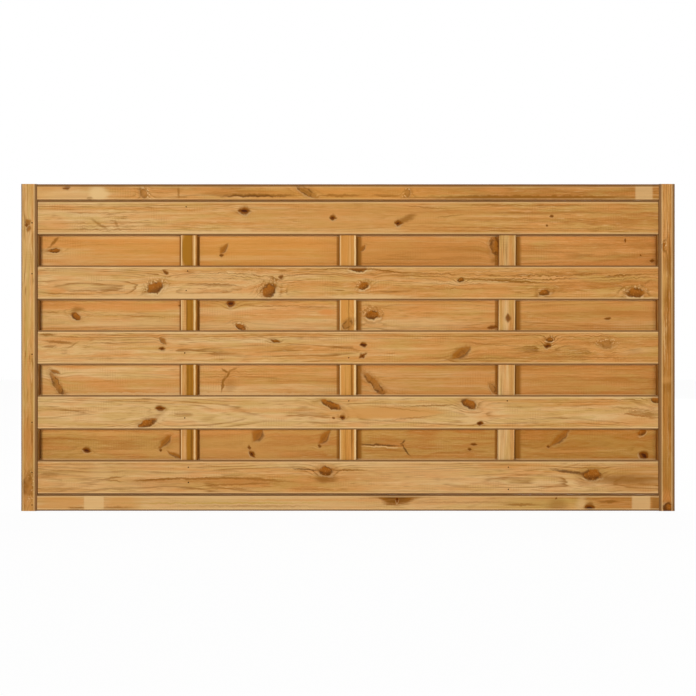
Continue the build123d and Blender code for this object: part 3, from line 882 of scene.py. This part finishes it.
def block(name, low, high, radius):
    """A block between two corners, its long edges rounded, left in edit mode."""
    bpy.ops.object.select_all(action="DESELECT")
    bpy.ops.mesh.primitive_cube_add(size=1.0, location=(low + high) / 2, scale=high - low)
    piece = bpy.context.object
    piece.name = piece.data.name = name + "_timber"
    bpy.ops.object.transform_apply(location=True, rotation=True, scale=True)
    bpy.ops.object.mode_set(mode="EDIT")
    bpy.context.tool_settings.mesh_select_mode = (False, True, False)
    bpy.ops.mesh.select_all(action="DESELECT")
    mesh = bmesh.from_edit_mesh(piece.data)
    longest = max(edge.calc_length() for edge in mesh.edges)
    for edge in mesh.edges:
        edge.select_set(edge.calc_length() > NEARLY * longest)
    bpy.ops.mesh.bevel(offset=radius, segments=settings().round_steps, affect="EDGES")
    return piece


def pick(piece, kind, wanted):
    """Selects the faces or edges that fit, and nothing else, in edit mode."""
    bpy.context.tool_settings.mesh_select_mode = (False, kind == "edges", kind == "faces")
    bpy.ops.mesh.select_all(action="DESELECT")
    mesh = bmesh.from_edit_mesh(piece.data)
    for each in getattr(mesh, kind):
        each.select_set(wanted(each))
    if not any(each.select for each in getattr(mesh, kind)):
        raise RuntimeError(f"{piece.name} has no {kind} to shape here")
    bmesh.update_edit_mesh(piece.data)


def cut(places, axis):
    """Cuts the piece in edit mode by planes across an axis."""
    normal = Vector((0, 0, 0))
    normal[axis] = 1
    for place in places:
        bpy.ops.mesh.select_all(action="SELECT")
        bpy.ops.mesh.bisect(plane_co=normal * place, plane_no=normal)


def slice_up(low, high, axis, step):
    """Cuts the piece in edit mode into slices along an axis."""
    count = round((high[axis] - low[axis]) / step)
    cut([low[axis] + (high[axis] - low[axis]) * i / count for i in range(1, count)], axis)


def finish_timber(piece, name, upright):
    """Leaves edit mode, lets the planed faces stray a little inwards, and gives the piece its wood."""
    bpy.ops.object.mode_set(mode="OBJECT")
    texture = bpy.data.textures.new(name + "_stray", "CLOUDS")
    texture.noise_scale = STRAY_LENGTH
    stray = piece.modifiers.new("Stray", "DISPLACE")
    stray.texture = texture
    stray.texture_coords = "LOCAL"
    stray.strength = settings().wander
    stray.mid_level = 1.0
    bpy.ops.object.modifier_apply(modifier=stray.name)
    bpy.ops.object.shade_smooth_by_angle(angle=SMOOTH_TIMBER)
    looks = dict(TIMBERS[name])
    if name in rear_names:
        looks["bands"] = rear_board_painted_shade()
    piece.data.materials.append(timber_material(name, upright, **looks))
    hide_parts(name)
    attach(piece, "root")


def nail_steel():
    """Galvanised wire nails gone brown and dull, which read as small dark dots."""
    material = bpy.data.materials.new("weathered_nail_steel")
    material.use_nodes = True
    shader = material.node_tree.nodes["Principled BSDF"]
    shader.inputs["Base Color"].default_value = (*settings().steel, 1)
    shader.inputs["Metallic"].default_value = 1.0
    shader.inputs["Roughness"].default_value = 0.6
    return material


def nail_heads(name, places, face, side, steel):
    """Domed nail heads, let into one face at the places given; side is -1 at the front and 1 at the back."""
    radius = settings().nail_radius
    bpy.ops.object.select_all(action="DESELECT")
    bpy.ops.mesh.primitive_cylinder_add(vertices=NAIL_SIDES, radius=radius, depth=radius, location=(0, 0, 0),
                                        rotation=(math.radians(90), 0, 0))
    head = bpy.context.object
    bpy.ops.object.transform_apply(location=True, rotation=True, scale=True)
    bpy.ops.object.mode_set(mode="EDIT")
    pick(head, "faces", lambda each: each.normal[Y] * side > ALIGNED)
    bpy.ops.mesh.inset(thickness=radius * NAIL_RIM)
    bpy.ops.transform.translate(value=(0, side * radius * NAIL_DOME, 0))
    bpy.ops.object.mode_set(mode="OBJECT")
    head.data.materials.append(steel)
    heads = []
    for x, z in places:
        each = head.copy()
        each.data = head.data.copy()
        each.data.transform(Matrix.Translation((x * MM, face - side * radius * NAIL_SINK, z * MM)))
        bpy.context.collection.objects.link(each)
        heads.append(each)
    bpy.data.objects.remove(head)
    for each in heads:
        each.select_set(True)
    bpy.context.view_layer.objects.active = heads[0]
    bpy.ops.object.join()
    nails = bpy.context.object
    nails.name = nails.data.name = name
    bpy.ops.object.shade_smooth_by_angle(angle=SMOOTH_NAIL)
    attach(nails, "root")


class FENCE_OT_nails(bpy.types.Operator):
    """Models the nails that hold the boards to the battens and the stile"""

    bl_idname = "fence.nails"
    bl_label = "Nails"

    def execute(self, context):
        steel = nail_steel()
        nail_heads("board_nails", BOARD_NAILS, board_low[Y], -1, steel)
        nail_heads("stile_nails", STILE_NAILS, stile_low[Y], -1, steel)
        columns = [sum(corner[X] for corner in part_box(name)) / 2 / MM for name in batten_names]
        rows = [sum(corner[Z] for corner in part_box(name)) / 2 / MM for name in rear_names]
        rear_places = [(x, z + side * NAIL_OFFSET) for x in columns for z in rows for side in (-1, 1)]
        nail_heads("rear_nails", rear_places, -board_low[Y], 1, steel)
        return {"FINISHED"}


class FENCE_OT_boards(bpy.types.Operator):
    """Models the level boards of both layers"""

    bl_idname = "fence.boards"
    bl_label = "Boards"

    def execute(self, context):
        for name in front_names + rear_names:
            low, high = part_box(name)
            board = block(name, low, high, settings().board_round)
            slice_up(low, high, X, settings().slice_length)
            finish_timber(board, name, upright=False)
        return {"FINISHED"}


class FENCE_OT_battens(bpy.types.Operator):
    """Models the upright battens between the layers"""

    bl_idname = "fence.battens"
    bl_label = "Battens"

    def execute(self, context):
        for name in batten_names:
            low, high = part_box(name)
            batten = block(name, low, high, settings().batten_round)
            slice_up(low, high, Z, settings().slice_length)
            if name == batten_names[-1]:
                # With no window the turn goes the other way, so it is taken as negative
                bpy.ops.mesh.select_all(action="SELECT")
                bpy.ops.transform.rotate(value=-settings().lean, orient_axis="Y",
                                         center_override=(low + high) / 2)
            finish_timber(batten, name, upright=True)
        return {"FINISHED"}


class FENCE_OT_rails(bpy.types.Operator):
    """Models the rails, with a pair of tongues at each end and a housing for each batten"""

    bl_idname = "fence.rails"
    bl_label = "Rails"

    def execute(self, context):
        play = settings().side_play
        layers = [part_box(front_names[0]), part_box(rear_names[0])]
        battens = [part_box(name) for name in batten_names]
        for name, inner_side in (("bottom_rail", 1), ("top_rail", -1)):
            low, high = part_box(name)
            body_low = Vector((stile_high[X], low[Y], low[Z]))
            body_high = Vector((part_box("right_stile")[0][X], high[Y], high[Z]))
            rail = block(name, body_low, body_high, settings().frame_round)
            for layer_low, layer_high in layers:
                cut((layer_low[Y], layer_high[Y]), Y)
            cut((batten_low[Y] - play, batten_high[Y] + play), Y)
            for each_low, each_high in battens:
                cut((each_low[X] - play, each_high[X] + play), X)
            for end_side, reach in ((-1, low[X] - body_low[X]), (1, high[X] - body_high[X])):
                pick(rail, "faces", lambda face: face.normal[X] * end_side > ALIGNED
                     and any(layer_low[Y] < face.calc_center_median()[Y] < layer_high[Y]
                             for layer_low, layer_high in layers))
                bpy.ops.mesh.extrude_region_move(TRANSFORM_OT_translate={"value": (reach, 0, 0)})
            inner_face = high[Z] if inner_side > 0 else low[Z]
            batten_end = batten_low[Z] if inner_side > 0 else batten_high[Z]
            housed = batten_end - inner_side * settings().end_play
            pick(rail, "faces", lambda face: face.normal[Z] * inner_side > ALIGNED
                 and abs(face.calc_center_median()[Y]) < batten_high[Y] + play
                 and any(each_low[X] - play < face.calc_center_median()[X] < each_high[X] + play
                         for each_low, each_high in battens))
            bpy.ops.mesh.extrude_region_move(TRANSFORM_OT_translate={"value": (0, 0, housed - inner_face)})
            slice_up(body_low, body_high, X, settings().slice_length)
            finish_timber(rail, name, upright=False)
        return {"FINISHED"}


class FENCE_OT_stiles(bpy.types.Operator):
    """Models the stiles, each with a pair of grooves for tongues and board ends"""

    bl_idname = "fence.stiles"
    bl_label = "Stiles"

    def execute(self, context):
        play = settings().side_play
        for name, inner_side in (("left_stile", 1), ("right_stile", -1)):
            low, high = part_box(name)
            stile = block(name, low, high, settings().frame_round)
            board_end = board_low[X] if inner_side > 0 else board_high[X]
            groove_end = board_end - inner_side * settings().end_play
            cut([groove_end], X)
            for layer in (front_names[0], rear_names[0]):
                layer_low, layer_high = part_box(layer)
                sides = (layer_low[Y] - play, layer_high[Y] + play)
                cut(sides, Y)
                pick(stile, "faces", lambda face: sides[0] < face.calc_center_median()[Y] < sides[1]
                     and inner_side * (face.calc_center_median()[X] - groove_end) > 0)
                bpy.ops.mesh.delete(type="FACE")
                pick(stile, "edges", lambda edge: edge.is_boundary and edge.calc_length() < high[Z] / 2)
                bpy.ops.mesh.bridge_edge_loops()
            slice_up(low, high, Z, settings().slice_length)
            finish_timber(stile, name, upright=True)
        return {"FINISHED"}


def add_lamp(name, place, width, watts):
    """Adds a round soft lamp that looks at the panel's middle."""
    bpy.ops.object.light_add(type="AREA", location=place)
    lamp = bpy.context.object
    lamp.name = name
    lamp.data.shape = "DISK"
    lamp.data.size = width
    lamp.data.energy = watts
    lamp.rotation_mode = "QUATERNION"
    lamp.rotation_quaternion = (panel_centre - lamp.location).to_track_quat("-Z", "Y")


def studio_floor_material():
    """Matt vinyl studio floor: plain, and white to the camera except where the panel shades it."""
    material = bpy.data.materials.new("matt_vinyl_floor")
    material.use_nodes = True
    tree = material.node_tree
    shader = tree.nodes["Principled BSDF"]
    shader.inputs["Base Color"].default_value = (*settings().studio, 1)
    shader.inputs["Roughness"].default_value = 0.8
    path = tree.nodes.new("ShaderNodeLightPath")
    white = add(tree, "Emission", (1, 1, 1), 1.0)
    share = add(tree, "MapRange", path.outputs["Is Camera Ray"], 0.0, 1.0, 0.0, FLOOR_GLOW)
    mixed = add(tree, "MixShader", share, shader.outputs[0], white)
    tree.links.new(mixed, tree.nodes["Material Output"].inputs["Surface"])
    return material


class FENCE_OT_studio(bpy.types.Operator):
    """Sets up a pale floor, soft light and the camera"""

    bl_idname = "fence.studio"
    bl_label = "Studio"

    def execute(self, context):
        scene = context.scene
        chosen = settings()
        scene.view_settings.view_transform = "Standard"
        bpy.ops.object.select_all(action="DESELECT")
        front = panel_low[Y]

        bpy.ops.object.camera_add(
            location=(panel_centre[X], front - chosen.camera_distance, panel_centre[Z] - chosen.camera_drop),
            rotation=(math.radians(90), 0, 0))
        camera = context.object
        camera.name = "camera"
        camera.data.sensor_width = SENSOR_WIDTH
        camera.data.lens = SENSOR_WIDTH * chosen.camera_distance / chosen.view_width
        scene.camera = camera

        for name, (place, width, watts) in LAMPS.items():
            add_lamp(name, place, width, getattr(chosen, watts))

        bpy.ops.mesh.primitive_plane_add(size=FLOOR_SIZE, location=(panel_centre[X], 0, panel_low[Z]))
        floor = context.object
        floor.name = "studio_floor"
        floor.data.materials.append(studio_floor_material())

        # The surroundings are dim to the panel and white to the camera, in reflections and through gaps
        world = bpy.data.worlds.new("plain_surroundings")
        world.use_nodes = True
        scene.world = world
        tree = world.node_tree
        path = tree.nodes.new("ShaderNodeLightPath")
        seen = add(tree, "Math", path.outputs["Is Camera Ray"], path.outputs["Is Glossy Ray"],
                   operation="MAXIMUM")
        white = add(tree, "Math", seen, path.outputs["Is Transmission Ray"], operation="MAXIMUM")
        strength = add(tree, "MapRange", white, 0.0, 1.0, chosen.fill, 1.0)
        background = tree.nodes["Background"]
        background.inputs["Color"].default_value = (1, 1, 1, 1)
        tree.links.new(strength, background.inputs["Strength"])
        return {"FINISHED"}


class FENCE_PT_panel(bpy.types.Panel):
    """Lists the steps that dress the fence panel"""

    bl_label = "Privacy Fence Panel"
    bl_idname = "FENCE_PT_panel"
    bl_space_type = "VIEW_3D"
    bl_region_type = "UI"
    bl_category = "Fence"

    def draw(self, context):
        for operator in OPERATORS:
            self.layout.operator(operator.bl_idname)
        for name in FencePanelSettings.__annotations__:
            self.layout.prop(settings(), name)


OPERATORS = (FENCE_OT_studio, FENCE_OT_stiles, FENCE_OT_rails, FENCE_OT_boards, FENCE_OT_battens,
             FENCE_OT_nails)
CLASSES = (FencePanelSettings, *OPERATORS, FENCE_PT_panel)


def register():
    """Registers the settings, the operators and the panel."""
    for each in CLASSES:
        bpy.utils.register_class(each)
    bpy.types.Scene.fence_panel = PointerProperty(type=FencePanelSettings)


def unregister():
    """Takes away what register added."""
    del bpy.types.Scene.fence_panel
    for each in reversed(CLASSES):
        bpy.utils.unregister_class(each)


def main():
    """Registers the add-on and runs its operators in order."""
    register()
    bpy.ops.fence.studio()
    bpy.ops.fence.stiles()
    bpy.ops.fence.rails()
    bpy.ops.fence.boards()
    bpy.ops.fence.battens()
    bpy.ops.fence.nails()


if __name__ == "__main__":
    main()
